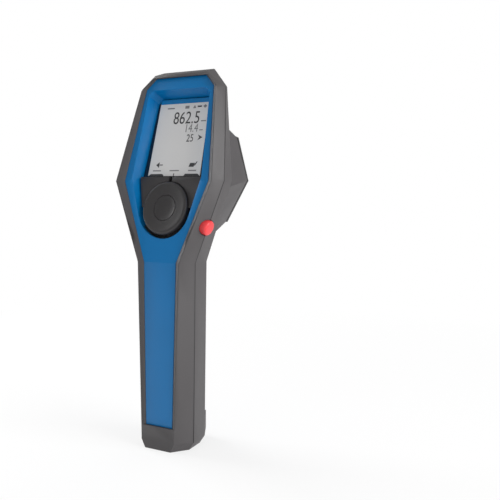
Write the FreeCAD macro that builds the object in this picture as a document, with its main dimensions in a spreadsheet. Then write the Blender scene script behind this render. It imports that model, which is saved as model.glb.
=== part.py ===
import FreeCAD, Part
import math
import os
import Sketcher
from FreeCAD import Placement, Rotation, Vector

# A hand-held stroboscope with a rechargeable pack in its handle. It stands upright on its base.
# X runs to the right seen from the screen side, Y runs from the screen to the lamp, Z is up.
# The origin is on the ground under the middle of the whole instrument. All lengths are millimetres.

os.makedirs("parts", exist_ok=True)
doc = FreeCAD.newDocument("stroboscope")
sheet = doc.addObject("Spreadsheet::Sheet", "Sizes")
sheet_row = 0
nodes = []


class Size:
    """A number together with the formula that binds it to the sheet."""

    def __init__(self, value, text):
        self.value = value
        self.text = text

    def __add__(self, other):
        other = as_size(other)
        return Size(self.value + other.value, f"({self.text} + {other.text})")

    def __sub__(self, other):
        other = as_size(other)
        return Size(self.value - other.value, f"({self.text} - {other.text})")

    def __mul__(self, other):
        other = as_size(other)
        return Size(self.value * other.value, f"({self.text} * {other.text})")

    def __truediv__(self, other):
        other = as_size(other)
        return Size(self.value / other.value, f"({self.text} / {other.text})")

    def __radd__(self, other):
        return as_size(other) + self

    def __rsub__(self, other):
        return as_size(other) - self

    def __rmul__(self, other):
        return as_size(other) * self

    def __neg__(self):
        return Size(-self.value, f"(-{self.text})")


def as_size(number):
    return number if isinstance(number, Size) else Size(float(number), repr(float(number)))


def size(name, value):
    """Write one driving dimension in the sheet and hand back its Size."""
    global sheet_row
    sheet_row += 1
    sheet.set(f"A{sheet_row}", name)
    sheet.set(f"B{sheet_row}", str(value))
    sheet.setAlias(f"B{sheet_row}", name)
    return Size(float(value), f"Sizes.{name}")


def tangent(angle):
    return Size(math.tan(math.radians(angle.value)), f"tan({angle.text})")


def sine(angle):
    return Size(math.sin(math.radians(angle.value)), f"sin({angle.text})")


def cosine(angle):
    return Size(math.cos(math.radians(angle.value)), f"cos({angle.text})")


# Heights of the cross-sections that give the case its facets
STATIONS = ("base", "foot", "neck", "wide", "brow", "crown")
height = {
    "base": Size(0.0, "0"),
    "foot": size("foot_height", 5.2),
    "neck": size("neck_height", 111.0),
    "wide": size("wide_height", 158.5),
    "brow": size("brow_height", 213.8),
    "crown": size("crown_height", 225.0),
}


def edge_line(name, values):
    """One sheet row for each station of a line along the case."""
    return {station: size(f"{name}_{station}", value) for station, value in zip(STATIONS, values)}


# The seam between the two shells is the widest line, the other lines are set in from it
seam_half = edge_line("seam_half", (15.6, 19.2, 20.4, 39.0, 29.5, 18.3))
seam_y = edge_line("seam_y", (-15.0, -15.0, -14.5, -12.4, 4.1, 8.3))
ridge_inset = edge_line("ridge_inset", (6.4, 7.3, 5.5, 4.26, 2.4, 2.6))
ridge_forward = edge_line("ridge_forward", (10.0, 10.0, 9.3, 7.2, 7.9, 8.6))
crease_inset = edge_line("crease_inset", (2.35, 2.38, 2.4, 1.67, 3.4, 2.0))
crease_back = edge_line("crease_back", (14.4, 14.6, 14.7, 10.2, 6.1, 3.5))
rim_inset = edge_line("rim_inset", (1.8, 1.8, 1.8, 1.2, 2.6, 1.56))
rim_back = edge_line("rim_back", (1.44, 1.44, 1.44, 0.96, 0.9, 0.54))
flat_inset = edge_line("flat_inset", (7.9, 7.9, 7.5, 2.4, 1.2, 0.9))
flat_back = edge_line("flat_back", (7.9, 7.9, 7.5, 2.4, 1.2, 0.9))
panel_inset = edge_line("panel_inset", (2.36, 2.36, 3.2, 4.2, 2.5, 2.0))
panel_sink = edge_line("panel_sink", (1.4, 1.4, 1.9, 3.4, 2.02, 1.62))

ridge_half = {s: seam_half[s] - ridge_inset[s] for s in STATIONS}
ridge_y = {s: seam_y[s] - ridge_forward[s] for s in STATIONS}
crease_half = {s: seam_half[s] - crease_inset[s] for s in STATIONS}
crease_y = {s: seam_y[s] + crease_back[s] for s in STATIONS}
rim_half = {s: crease_half[s] - rim_inset[s] for s in STATIONS}
rim_y = {s: crease_y[s] + rim_back[s] for s in STATIONS}
flat_half = {s: rim_half[s] - flat_inset[s] for s in STATIONS}
flat_y = {s: rim_y[s] + flat_back[s] for s in STATIONS}
panel_half = {s: ridge_half[s] - panel_inset[s] for s in STATIONS}
panel_y = {s: ridge_y[s] + panel_sink[s] for s in STATIONS}

# How far from flat a face may be and still be stored as a plane
FLATNESS = 1e-6

# Sides of the even-sided rings that stand for the rounds nothing turns on
FINE = 32
MEDIUM = 16
COARSE = 12
SMALL = 8

# Case
shell_wall = size("shell_wall", 2.2)
inner_overlap = size("inner_overlap", 1.0)
front_inner_slope = size("front_inner_slope", 0.7)
rear_inner_slope = size("rear_inner_slope", 0.22)
crown_wall = size("crown_wall", 4.5)
crown_fall_front = size("crown_fall_front", 2.6)
crown_fall_rear = size("crown_fall_rear", 2.6)
roof_overrun = size("roof_overrun", 1.6)
heel_half = size("heel_half", 7.5)
heel_y = size("heel_y", 14.5)
heel_height = size("heel_height", 16.0)
heel_chamfer = size("heel_chamfer", 1.0)
strap_slot_width = size("strap_slot_width", 7.5)
strap_slot_thickness = size("strap_slot_thickness", 1.8)
strap_slot_depth = size("strap_slot_depth", 3.5)
strap_slot_edge = size("strap_slot_edge", 2.2)
joint_gap = size("joint_gap", 0.15)

# Front panel and the recess for the screen and controls
front_plate = size("front_plate", 1.6)
front_shelf = size("front_shelf", 1.2)
overrun = size("overrun", 0.3)
front_panel_low = size("front_panel_low", 13.9)
front_panel_high = size("front_panel_high", 220.4)
head_lean = size("head_lean", 15.5)
face_y = size("face_y", -13.6)
face_z = size("face_z", 141.9)
window_glass = size("window_glass", 1.2)
carrier_thickness = size("carrier_thickness", 1.6)
carrier_flange = size("carrier_flange", 1.6)
recess_top = size("recess_top", 69.0)
recess_top_half = size("recess_top_half", 19.8)
recess_mid = size("recess_mid", 17.5)
recess_mid_half = size("recess_mid_half", 22.8)
recess_radius = size("recess_radius", 17.4)
recess_tangent = size("recess_tangent", 15.0)
recess_corner = size("recess_corner", 3.0)
recess_splay = size("recess_splay", 3.0)
recess_rise = size("recess_rise", 8.6)
frame_low = size("frame_low", 121.0)
frame_edge = size("frame_edge", 0.6)
frame_room_low = size("frame_room_low", 198.0)

# Screen, wheel and keys, measured up the leaning face from the middle of the wheel
screen_low = size("screen_low", 19.6)
screen_margin = size("screen_margin", 0.3)
module_thickness = size("module_thickness", 2.2)
module_half_width = size("module_half_width", 19.0)
module_low = size("module_low", 21.0)
module_high = size("module_high", 67.0)
wheel_radius = size("wheel_radius", 15.9)
wheel_rise = size("wheel_rise", 4.3)
wheel_edge = size("wheel_edge", 1.2)
wheel_gap = size("wheel_gap", 0.4)
bearing_radius = size("bearing_radius", 11.0)
bearing_bore = size("bearing_bore", 8.6)
bearing_height = size("bearing_height", 2.6)
running_fit = size("running_fit", 0.05)
button_radius = size("button_radius", 7.4)
button_gap = size("button_gap", 0.4)
button_sink = size("button_sink", 0.5)
button_dish = size("button_dish", 0.9)
button_stem = size("button_stem", 2.2)
key_rise = size("key_rise", 2.4)
key_gap = size("key_gap", 0.4)
key_low = size("key_low", 0.5)
key_split = size("key_split", 2.4)
key_travel = size("key_travel", 0.6)
stem_gap = size("stem_gap", 0.4)
post_height = size("post_height", 2.2)
post_radius = size("post_radius", 1.8)
post_x = size("post_x", 13.5)
post_v = size("post_v", -8.0)
stem_radius = size("stem_radius", 1.6)
control_board_half = size("control_board_half", 17.5)
control_board_low = size("control_board_low", -11.0)
control_board_high = size("control_board_high", 19.5)
board_thickness = size("board_thickness", 1.2)
switch_height = size("switch_height", 1.4)
switch_half = size("switch_half", 1.5)
key_switch_x = size("key_switch_x", 16.0)
key_switch_v = size("key_switch_v", 15.6)

# Lamp
lamp_z = size("lamp_z", 161.0)
lamp_face_y = size("lamp_face_y", 25.0)
bezel_thickness = size("bezel_thickness", 2.4)
bezel_half_wide = size("bezel_half_wide", 32.2)
bezel_wide_z = size("bezel_wide_z", 158.8)
bezel_half_high = size("bezel_half_high", 25.0)
bezel_high_z = size("bezel_high_z", 185.2)
bezel_half_top = size("bezel_half_top", 12.0)
bezel_top_z = size("bezel_top_z", 190.8)
bezel_half_low = size("bezel_half_low", 17.0)
bezel_low_z = size("bezel_low_z", 133.6)
root_y = size("root_y", 0.0)
root_half_low = size("root_half_low", 12.0)
root_low_z = size("root_low_z", 118.2)
root_half_wide = size("root_half_wide", 34.2)
root_high_z = size("root_high_z", 198.4)
seat_depth = size("seat_depth", 10.0)
lamp_radius = size("lamp_radius", 24.4)
lens_lip = size("lens_lip", 1.2)
fit_gap = size("fit_gap", 0.1)
sink_ledge = size("sink_ledge", 2.4)
lens_plate = size("lens_plate", 2.0)
lens_radius = size("lens_radius", 7.6)
lens_pitch = size("lens_pitch", 16.1)
lens_depth = size("lens_depth", 7.5)
lens_tip_radius = size("lens_tip_radius", 4.2)
outer_lenses = size("outer_lenses", 6)
lens_screw_pitch = size("lens_screw_pitch", 21.4)
lens_screw_radius = size("lens_screw_radius", 1.5)
lens_screw_head = size("lens_screw_head", 0.8)
lens_screw_shank = size("lens_screw_shank", 0.75)
chip_half = size("chip_half", 1.7)
chip_height = size("chip_height", 0.8)
lamp_board = size("lamp_board", 1.6)
sink_plate = size("sink_plate", 2.6)
sink_fin = size("sink_fin", 5.0)
sink_fin_thickness = size("sink_fin_thickness", 1.6)
sink_fin_pitch = size("sink_fin_pitch", 5.6)
sink_fin_half = size("sink_fin_half", 14.0)
sink_fins = size("sink_fins", 7)

# Rear panel and battery compartment
cover_wall = size("cover_wall", 1.8)
rear_panel_high = size("rear_panel_high", 220.6)
door_high = size("door_high", 107.0)
door_gap = size("door_gap", 0.3)
bulkhead_y = size("bulkhead_y", -10.0)
bulkhead = size("bulkhead", 1.6)
bulkhead_top = size("bulkhead_top", 104.0)
door_screw_z = size("door_screw_z", 21.4)
door_screw_radius = size("door_screw_radius", 3.0)
door_screw_pocket = size("door_screw_pocket", 3.7)
door_screw_wall = size("door_screw_wall", 1.2)
door_screw_sink = size("door_screw_sink", 0.6)
door_screw_head = size("door_screw_head", 1.8)
door_screw_shank = size("door_screw_shank", 1.4)
door_screw_reach = size("door_screw_reach", 3.4)
door_screw_slot = size("door_screw_slot", 0.9)
door_boss_radius = size("door_boss_radius", 3.0)
door_boss_gap = size("door_boss_gap", 0.8)
tongue_width = size("tongue_width", 8.0)
tongue_reach = size("tongue_reach", 2.5)
tongue_thickness = size("tongue_thickness", 1.4)
notch_depth = size("notch_depth", 6.0)
cell_radius = size("cell_radius", 6.4)
cell_length = size("cell_length", 65.0)
pack_low = size("pack_low", 30.0)
contact_half = size("contact_half", 8.0)
contact_depth = size("contact_depth", 8.0)
contact_gap = size("contact_gap", 2.5)
blade_half = size("blade_half", 0.6)
blade_pitch = size("blade_pitch", 4.0)

# Trigger button and socket on the seam
side_z = size("side_z", 131.6)
side_bore = size("side_bore", 5.0)
side_bore_proud = size("side_bore_proud", 3.0)
side_bore_length = size("side_bore_length", 14.4)
side_block_depth = size("side_block_depth", 9.0)
side_block_half = size("side_block_half", 7.5)
side_block_front = size("side_block_front", 6.4)
side_block_rear = size("side_block_rear", 6.8)
side_block_bite = size("side_block_bite", 1.0)
side_plug_depth = size("side_plug_depth", 7.6)
trigger_radius = size("trigger_radius", 4.5)
trigger_proud = size("trigger_proud", 2.0)
trigger_length = size("trigger_length", 6.5)
trigger_travel = size("trigger_travel", 1.0)
trigger_round = size("trigger_round", 0.8)
trigger_gap = size("trigger_gap", 0.2)
socket_sink = size("socket_sink", 3.2)
socket_bore = size("socket_bore", 1.9)
socket_depth = size("socket_depth", 3.4)

# Boards, screws and tripod bush
main_board_half = size("main_board_half", 11.5)
main_board_low = size("main_board_low", 38.0)
main_board_high = size("main_board_high", 92.0)
chip_block = size("chip_block", 9.0)
chip_block_rise = size("chip_block_rise", 1.4)
capacitor_radius = size("capacitor_radius", 3.5)
capacitor_length = size("capacitor_length", 14.0)
case_boss_radius = size("case_boss_radius", 3.0)
case_screw_shank = size("case_screw_shank", 1.3)
case_screw_head = size("case_screw_head", 2.4)
case_screw_head_rise = size("case_screw_head_rise", 1.2)
case_screw_length = size("case_screw_length", 9.0)
case_screw_x = size("case_screw_x", 11.0)
case_screw_low = size("case_screw_low", 25.2)
case_screw_high = size("case_screw_high", 100.2)
bush_radius = size("bush_radius", 4.8)
bush_bore = size("bush_bore", 3.2)
bush_depth = size("bush_depth", 9.0)
bush_y = size("bush_y", 4.0)

doc.recompute()


def along(line, at, low, high):
    """The value of a line of the case at a height between two of its stations."""
    share = (at - height[low]) / (height[high] - height[low])
    return line[low] + (line[high] - line[low]) * share


def make_body(name):
    body = doc.addObject("PartDesign::Body", name)
    body.Label = name
    nodes.append(body)
    return body


def origin_plane(body, role):
    return next(feature for feature in body.Origin.OriginFeatures if feature.Role == role)


def outline(body, name, plane, points, offset=0.0, across=0.0, lean=None):
    """A closed outline whose corners are all bound to the sheet."""
    return outlines(body, name, plane, [points], offset, across, lean)


def outlines(body, name, plane, loops, offset=0.0, across=0.0, lean=None):
    """Several closed outlines in one sketch."""
    sketch = body.newObject("Sketcher::SketchObject", f"{body.Name}_{name}")
    sketch.AttachmentSupport = (origin_plane(body, plane), "")
    sketch.MapMode = "FlatFace"
    place(sketch, offset, across, lean)
    for points in loops:
        first = sketch.GeometryCount
        corners = [(as_size(x), as_size(y)) for x, y in points]
        count = len(corners)
        for index, (x, y) in enumerate(corners):
            next_x, next_y = corners[(index + 1) % count]
            start = Vector(x.value, y.value, 0)
            end = Vector(next_x.value, next_y.value, 0)
            sketch.addGeometry(Part.LineSegment(start, end), False)
        for index in range(count):
            after = first + (index + 1) % count
            sketch.addConstraint(Sketcher.Constraint("Coincident", first + index, 2, after, 1))
        for index, (x, y) in enumerate(corners):
            for kind, number in (("DistanceX", x), ("DistanceY", y)):
                bind = Sketcher.Constraint(kind, -1, 1, first + index, 1, number.value)
                row = sketch.addConstraint(bind)
                sketch.setExpression(f"Constraints[{row}]", number.text)
    return sketch


def place(sketch, offset, across, lean):
    """Move a sketch off its plane by offset, up it by across, and lean it back."""
    offset = as_size(offset)
    across = as_size(across)
    turn = as_size(0.0) if lean is None else -lean
    sketch.AttachmentOffset = Placement(
        Vector(0, across.value, offset.value), Rotation(Vector(1, 0, 0), turn.value))
    sketch.setExpression("AttachmentOffset.Base.y", across.text)
    sketch.setExpression("AttachmentOffset.Base.z", offset.text)
    if lean is not None:
        sketch.setExpression("AttachmentOffset.Rotation.Angle", turn.text)


def ring(body, name, plane, radius, sides, x=0.0, y=0.0, **where):
    """An even-sided ring whose corners lie on the radius."""
    return rings(body, name, plane, radius, sides, [(x, y)], **where)


def rings(body, name, plane, radius, sides, centres, **where):
    turns = [2.0 * math.pi * (index + 0.5) / sides for index in range(sides)]
    loops = [[(x + radius * math.cos(turn), y + radius * math.sin(turn)) for turn in turns]
             for x, y in centres]
    return outlines(body, name, plane, loops, **where)


def circle(body, name, plane, radius, x=0.0, y=0.0, offset=0.0, across=0.0, lean=None):
    """A circle whose radius and centre are bound to the sheet."""
    sketch = body.newObject("Sketcher::SketchObject", f"{body.Name}_{name}")
    sketch.AttachmentSupport = (origin_plane(body, plane), "")
    sketch.MapMode = "FlatFace"
    place(sketch, offset, across, lean)
    x, y = as_size(x), as_size(y)
    middle = Vector(x.value, y.value, 0)
    sketch.addGeometry(Part.Circle(middle, Vector(0, 0, 1), radius.value), False)
    row = sketch.addConstraint(Sketcher.Constraint("Radius", 0, radius.value))
    sketch.setExpression(f"Constraints[{row}]", radius.text)
    for kind, number in (("DistanceX", x), ("DistanceY", y)):
        row = sketch.addConstraint(Sketcher.Constraint(kind, -1, 1, 0, 3, number.value))
        sketch.setExpression(f"Constraints[{row}]", number.text)
    return sketch


def loft(body, name, sections, cut=False):
    kind = "PartDesign::SubtractiveLoft" if cut else "PartDesign::AdditiveLoft"
    feature = body.newObject(kind, f"{body.Name}_{name}")
    feature.Profile = sections[0]
    feature.Sections = sections[1:]
    feature.Ruled = True
    return feature


def prism(body, name, sketch, length, cut=False, backwards=False):
    """Push a sketch along its own normal, or against it, to add or to cut."""
    kind = "PartDesign::Pocket" if cut else "PartDesign::Pad"
    feature = body.newObject(kind, f"{body.Name}_{name}")
    feature.Profile = sketch
    length = as_size(length)
    feature.Length = length.value
    feature.setExpression("Length", length.text)
    feature.Reversed = (not backwards) if cut else backwards
    return feature


def both_sides(right):
    """Mirror the right half of an outline, listed from front to back, to the left."""
    return list(right) + [(-x, y) for x, y in reversed(right)]


def case_sections(body, name, levels, corners):
    """One outline for each level: a station name, or a height with the stations around it."""
    sections = []
    for index, level in enumerate(levels):
        at = height[level] if isinstance(level, str) else level[0]

        def pick(line):
            return line[level] if isinstance(level, str) else along(line, *level)

        points = both_sides(corners(pick, at))
        sections.append(outline(body, f"{name}{index}", "XY_Plane", points, at))
    return sections


def face(rise):
    """A plane parallel to the leaning screen, raised towards the user by rise."""
    rise = as_size(rise)
    return {"offset": -face_y + rise * cosine(head_lean),
            "across": face_z + rise * sine(head_lean),
            "lean": head_lean}


def face_depth_y(rise, at):
    """The Y of such a plane at a height above the ground."""
    return face_y + (at - face_z) * tangent(head_lean) - rise / cosine(head_lean)


side_slope = (seam_half["wide"] - seam_half["neck"]) / (height["wide"] - height["neck"])
side_angle = Size(math.degrees(math.atan(side_slope.value)), f"atan({side_slope.text})")
side_half = along(seam_half, side_z, "neck", "wide")
side_y = along(seam_y, side_z, "neck", "wide")


def side(rise, left=False):
    """A plane square to the button's axis on the seam, rise outside the case."""
    rise = as_size(rise)
    reach = side_half + rise * cosine(side_angle)
    return {"offset": -reach if left else reach,
            "across": side_z - rise * sine(side_angle),
            "lean": side_angle if left else -side_angle}


def side_ring(body, name, radius, rise, left=False):
    return ring(body, name, "YZ_Plane", radius, MEDIUM, side_y, **side(rise, left))


def upright(y):
    """A plane facing the front at the depth y."""
    return {"offset": -as_size(y)}


carrier_front = -window_glass
carrier_back = carrier_front - carrier_thickness
board_front = carrier_back - post_height
switch_top = board_front + switch_height
cavity_top = (height["crown"] - crown_wall, "brow", "crown")
heel_top = (heel_height, "foot", "neck")
heel_cut = dict.fromkeys(STATIONS, as_size(0.0))
heel_cut["base"] = heel_chamfer


# Front shell: the moulded half of the case that the user faces
def front_shell():
    body = make_body("front_shell")
    skin = case_sections(body, "skin", STATIONS, lambda pick, at: [
        (pick(ridge_half), pick(ridge_y)),
        (pick(seam_half), pick(seam_y))])
    loft(body, "skin", skin)
    inside = case_sections(body, "inside", ("foot", "neck", "wide", "brow", cavity_top), front_inside)
    loft(body, "inside", inside, cut=True)
    for side_name, left in (("right", False), ("left", True)):
        side_block(body, side_name, left, -side_block_front, ridge_inset, ridge_forward)
    for index, (x, z) in enumerate(case_screw_places()):
        boss = ring(body, f"boss{index}", "XZ_Plane", case_boss_radius, SMALL, x, z, **upright(bulkhead_y))
        start = along(panel_y, z, "foot", "neck") + front_plate
        prism(body, f"boss{index}", boss, bulkhead_y - start)
    recess = case_sections(body, "recess", panel_levels(0.0), lambda pick, at: [
        (pick(ridge_half) + pick(panel_inset) * overrun, pick(ridge_y) - pick(panel_sink) * overrun),
        (pick(panel_half), pick(panel_y)),
        (pick(panel_half), pick(panel_y) + front_plate)])
    loft(body, "recess", recess, cut=True)
    opening = case_sections(body, "opening", frame_levels(joint_gap), lambda pick, at: [
        (pick(panel_half) - frame_edge + joint_gap, pick(panel_y)),
        (pick(panel_half) - frame_edge + joint_gap, pick(seam_y) + inner_overlap)])
    loft(body, "opening", opening, cut=True)
    roof(body, -ridge_forward["crown"], crown_fall_front)
    holes = rings(body, "holes", "XZ_Plane", case_screw_shank, SMALL, case_screw_places(), **upright(bulkhead_y))
    prism(body, "holes", holes, case_screw_length - bulkhead, cut=True)
    side_bores(body)


def front_inside(pick, at):
    """The hollow of the front shell, whose slanted wall keeps one slope all the way up."""
    near = pick(panel_y) + front_plate + front_shelf
    far = pick(seam_y) + inner_overlap
    half = pick(seam_half) - shell_wall
    return [(half - (far - near) * front_inner_slope, near), (half, far)]


def rear_inside(pick, near, far):
    """The hollow of the rear shell between two depths, with one slope for its side walls."""
    half = pick(rim_half) - shell_wall
    deep = pick(rim_y) + inner_overlap
    return [(half + (deep - near) * rear_inner_slope, near), (half + (deep - far) * rear_inner_slope, far)]


def panel_levels(gap):
    low = (front_panel_low + gap, "foot", "neck")
    high = (front_panel_high - gap, "brow", "crown")
    return (low, "neck", "wide", "brow", high)


def frame_levels(gap):
    return ((frame_low - gap, "neck", "wide"), "wide", "brow", frame_high(gap))


def frame_high(gap):
    return (front_panel_high - front_plate + gap, "brow", "crown")


def case_screw_places():
    return [(x, z) for x in (-case_screw_x, case_screw_x) for z in (case_screw_low, case_screw_high)]


def side_block(body, side_name, left, reach, inset, run):
    """Half of the solid block on the inner wall that holds the button or the socket."""
    sections = []
    for index, z in enumerate((side_z - side_block_half, side_z + side_block_half)):
        half = along(seam_half, z, "neck", "wide")
        y = along(seam_y, z, "neck", "wide")
        forward = reach if reach.value > 0 else -reach
        drawn_in = along(inset, z, "neck", "wide") * (forward / along(run, z, "neck", "wide"))
        sign = -1.0 if left else 1.0
        points = [(sign * (half - side_block_depth), y),
                  (sign * (half - side_block_bite), y),
                  (sign * (half - side_block_bite - drawn_in), y + reach),
                  (sign * (half - side_block_depth), y + reach)]
        sections.append(outline(body, f"{side_name}_block{index}", "XY_Plane", points, z))
    loft(body, f"{side_name}_block", sections)


def side_bores(body):
    right = side_ring(body, "right_bore", side_bore, side_bore_proud)
    prism(body, "right_bore", right, side_bore_length, cut=True, backwards=True)
    left = side_ring(body, "left_bore", side_bore, side_bore_proud, left=True)
    prism(body, "left_bore", left, side_bore_length, cut=True)


def roof(body, run, fall):
    """Trim the top so that it falls away from the seam."""
    ridge = seam_y["crown"]
    top = height["crown"]
    far = ridge + run * roof_overrun
    points = [(ridge, top), (far, top - fall * roof_overrun), (far, top + fall), (ridge, top + fall)]
    sketch = outline(body, "roof", "YZ_Plane", points, -seam_half["wide"])
    prism(body, "roof", sketch, seam_half["wide"] * 2.0, cut=True)


# Rear shell: the other half of the case, with the heel, the battery bay and its bulkhead
def rear_shell():
    body = make_body("rear_shell")
    skin = case_sections(body, "skin", STATIONS, lambda pick, at: [
        (pick(seam_half), pick(seam_y)),
        (pick(crease_half), pick(crease_y)),
        (pick(rim_half), pick(rim_y))])
    loft(body, "skin", skin)
    heel = case_sections(body, "heel", ("base", "foot", heel_top), lambda pick, at: [
        (pick(crease_half), pick(seam_y) + pick(crease_back) * 0.5),
        (pick(crease_half), pick(crease_y)),
        (heel_half - pick(heel_cut), heel_y - pick(heel_cut))])
    loft(body, "heel", heel)
    passage_levels = ("foot", (bulkhead_top + bulkhead, "foot", "neck"))
    passage = case_sections(body, "passage", passage_levels, lambda pick, at: rear_inside(
        pick, pick(seam_y) - inner_overlap, bulkhead_y))
    loft(body, "passage", passage, cut=True)
    bay_levels = (heel_top, (bulkhead_top, "foot", "neck"))
    bay = case_sections(body, "bay", bay_levels, lambda pick, at: rear_inside(
        pick, bulkhead_y + bulkhead, pick(rim_y) + inner_overlap))
    loft(body, "bay", bay, cut=True)
    above = (bulkhead_top + bulkhead, "foot", "neck")
    head = case_sections(body, "head", (above, "neck", "wide", "brow", cavity_top), lambda pick, at: rear_inside(
        pick, pick(seam_y) - inner_overlap, pick(rim_y) + inner_overlap))
    loft(body, "head", head, cut=True)
    room_levels = ((frame_room_low, "wide", "brow"), "brow", frame_high(joint_gap))
    frame_room = case_sections(body, "frame_room", room_levels, lambda pick, at: [
        (pick(panel_half) - frame_edge + joint_gap, pick(seam_y) - inner_overlap),
        (pick(panel_half) - frame_edge + joint_gap, face_depth_y(carrier_front - joint_gap, at))])
    loft(body, "frame_room", frame_room, cut=True)
    for side_name, left in (("right", False), ("left", True)):
        side_block(body, side_name, left, side_block_rear, crease_inset, crease_back)
    boss = ring(body, "door_boss", "XZ_Plane", door_boss_radius, COARSE, 0.0, door_screw_z, **upright(bulkhead_y))
    prism(body, "door_boss", boss, door_boss_end() - bulkhead_y, backwards=True)
    hole = ring(body, "door_hole", "XZ_Plane", door_screw_shank + door_boss_gap, COARSE, 0.0, door_screw_z,
                **upright(door_boss_end()))
    prism(body, "door_hole", hole, door_screw_reach + door_boss_gap, cut=True)
    slot_y = heel_y - strap_slot_edge - strap_slot_thickness
    slot = outline(body, "strap_slot", "XY_Plane", both_sides([
        (strap_slot_width * 0.5, slot_y), (strap_slot_width * 0.5, slot_y + strap_slot_thickness)]), heel_height)
    prism(body, "strap_slot", slot, strap_slot_depth, cut=True, backwards=True)
    bush = ring(body, "bush_hole", "XY_Plane", bush_radius, COARSE, 0.0, bush_y)
    prism(body, "bush_hole", bush, bush_depth, cut=True)
    holes = rings(body, "holes", "XZ_Plane", case_screw_shank, SMALL, case_screw_places(),
                  **upright(bulkhead_y + bulkhead))
    prism(body, "holes", holes, bulkhead, cut=True)
    notch_y = rim_at_door_top() - tongue_thickness * 2.0
    notch = outline(body, "notch", "XY_Plane", both_sides([
        (tongue_width * 0.5 + door_gap, notch_y), (tongue_width * 0.5 + door_gap, notch_y + notch_depth)]),
        bulkhead_top)
    prism(body, "notch", notch, bulkhead, cut=True)
    roof(body, crease_back["crown"], crown_fall_rear)
    side_bores(body)


def rim_at_door_top():
    return along(rim_y, door_high, "foot", "neck")


def flat_at(z):
    return along(flat_y, z, "foot", "neck")


def door_boss_end():
    return flat_at(door_screw_z) - cover_wall - door_screw_sink - door_screw_head - door_boss_gap


# Blue front panel: a thin plate down the handle that thickens into the frame around the screen
def recess_corners(grow):
    """Right half of the screen recess, from its lower end to its top corner."""
    taper = (recess_mid_half - recess_top_half) / (recess_top - recess_corner - recess_mid)
    top_half = recess_top_half + grow * (1.0 - taper)
    return [(recess_radius * cosine(recess_tangent) + grow, -recess_radius * sine(recess_tangent)),
            (recess_mid_half + grow, recess_mid),
            (top_half, recess_top - recess_corner + grow),
            (top_half - recess_corner, recess_top + grow)]


def recess_half_at(v):
    """Half width of the recess at v up the face, below its widest place."""
    low_half = recess_radius * cosine(recess_tangent)
    low_v = -recess_radius * sine(recess_tangent)
    return low_half + (recess_mid_half - low_half) * ((v - low_v) / (recess_mid - low_v))


def recess_half_above(v):
    """Half width of the recess at v up the face, above its widest place."""
    share = (v - recess_mid) / (recess_top - recess_corner - recess_mid)
    return recess_mid_half + (recess_top_half - recess_mid_half) * share


def front_panel():
    body = make_body("front_panel")
    plate = case_sections(body, "plate", panel_levels(joint_gap), lambda pick, at: [
        (pick(panel_half) - joint_gap, pick(panel_y)),
        (pick(panel_half) - joint_gap, pick(panel_y) + front_plate)])
    loft(body, "plate", plate)
    frame = case_sections(body, "frame", frame_levels(0.0), lambda pick, at: [
        (pick(panel_half) - frame_edge, pick(panel_y) + front_plate * 0.5),
        (pick(panel_half) - frame_edge, face_depth_y(carrier_front, at))])
    loft(body, "frame", frame)
    floor = outline(body, "floor", "XZ_Plane", both_sides(recess_corners(as_size(0.0))), **face(carrier_front))
    mouth = outline(body, "mouth", "XZ_Plane", both_sides(recess_corners(recess_splay)), **face(recess_rise))
    loft(body, "screen_recess", [floor, mouth], cut=True)
    low = ring(body, "low_ring", "XZ_Plane", recess_radius, FINE, **face(carrier_front))
    high = ring(body, "high_ring", "XZ_Plane", recess_radius + recess_splay, FINE, **face(recess_rise))
    loft(body, "wheel_recess", [low, high], cut=True)


# Control carrier: the black plate that closes the recess and carries screen, keys and wheel
def control_carrier():
    body = make_body("control_carrier")
    plate = outline(body, "plate", "XZ_Plane", both_sides(recess_corners(carrier_flange)), **face(carrier_front))
    prism(body, "plate", plate, carrier_thickness, backwards=True)
    disc = ring(body, "disc", "XZ_Plane", recess_radius + carrier_flange, MEDIUM, **face(carrier_front))
    prism(body, "disc", disc, carrier_thickness, backwards=True)
    posts = rings(body, "posts", "XZ_Plane", post_radius, SMALL,
                  [(-post_x, post_v), (post_x, post_v)], **face(carrier_back))
    prism(body, "posts", posts, post_height, backwards=True)
    window = outline(body, "window", "XZ_Plane", both_sides([
        (module_half_width, module_low), (module_half_width, module_high)]), **face(carrier_front))
    prism(body, "window", window, carrier_thickness, cut=True, backwards=True)
    middle = ring(body, "middle_hole", "XZ_Plane", button_stem + stem_gap, COARSE, **face(carrier_front))
    prism(body, "middle_hole", middle, carrier_thickness, cut=True, backwards=True)
    holes = rings(body, "key_holes", "XZ_Plane", stem_radius + stem_gap, SMALL,
                  [(-key_switch_x, key_switch_v), (key_switch_x, key_switch_v)], **face(carrier_front))
    prism(body, "key_holes", holes, carrier_thickness, cut=True, backwards=True)


# Screen: a glass over a display module that fills the window of the carrier
def display_window():
    body = make_body("display_window")
    top = recess_top - screen_margin
    glass = outline(body, "glass", "XZ_Plane", both_sides([
        (recess_half_above(screen_low) - screen_margin, screen_low),
        (recess_half_above(recess_top - recess_corner) - screen_margin, recess_top - recess_corner),
        (recess_top_half - screen_margin - recess_corner, top)]), **face(0.0))
    prism(body, "glass", glass, window_glass, backwards=True)


def display_module():
    body = make_body("display_module")
    block = outline(body, "block", "XZ_Plane", both_sides([
        (module_half_width, module_low), (module_half_width, module_high)]), **face(carrier_front))
    prism(body, "block", block, carrier_thickness + module_thickness, backwards=True)


# Board behind the keys, with one dome switch under each key and the centre button
def control_board():
    body = make_body("control_board")
    board = outline(body, "board", "XZ_Plane", both_sides([
        (control_board_half, control_board_low), (control_board_half, control_board_high)]), **face(board_front))
    prism(body, "board", board, board_thickness, backwards=True)


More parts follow.
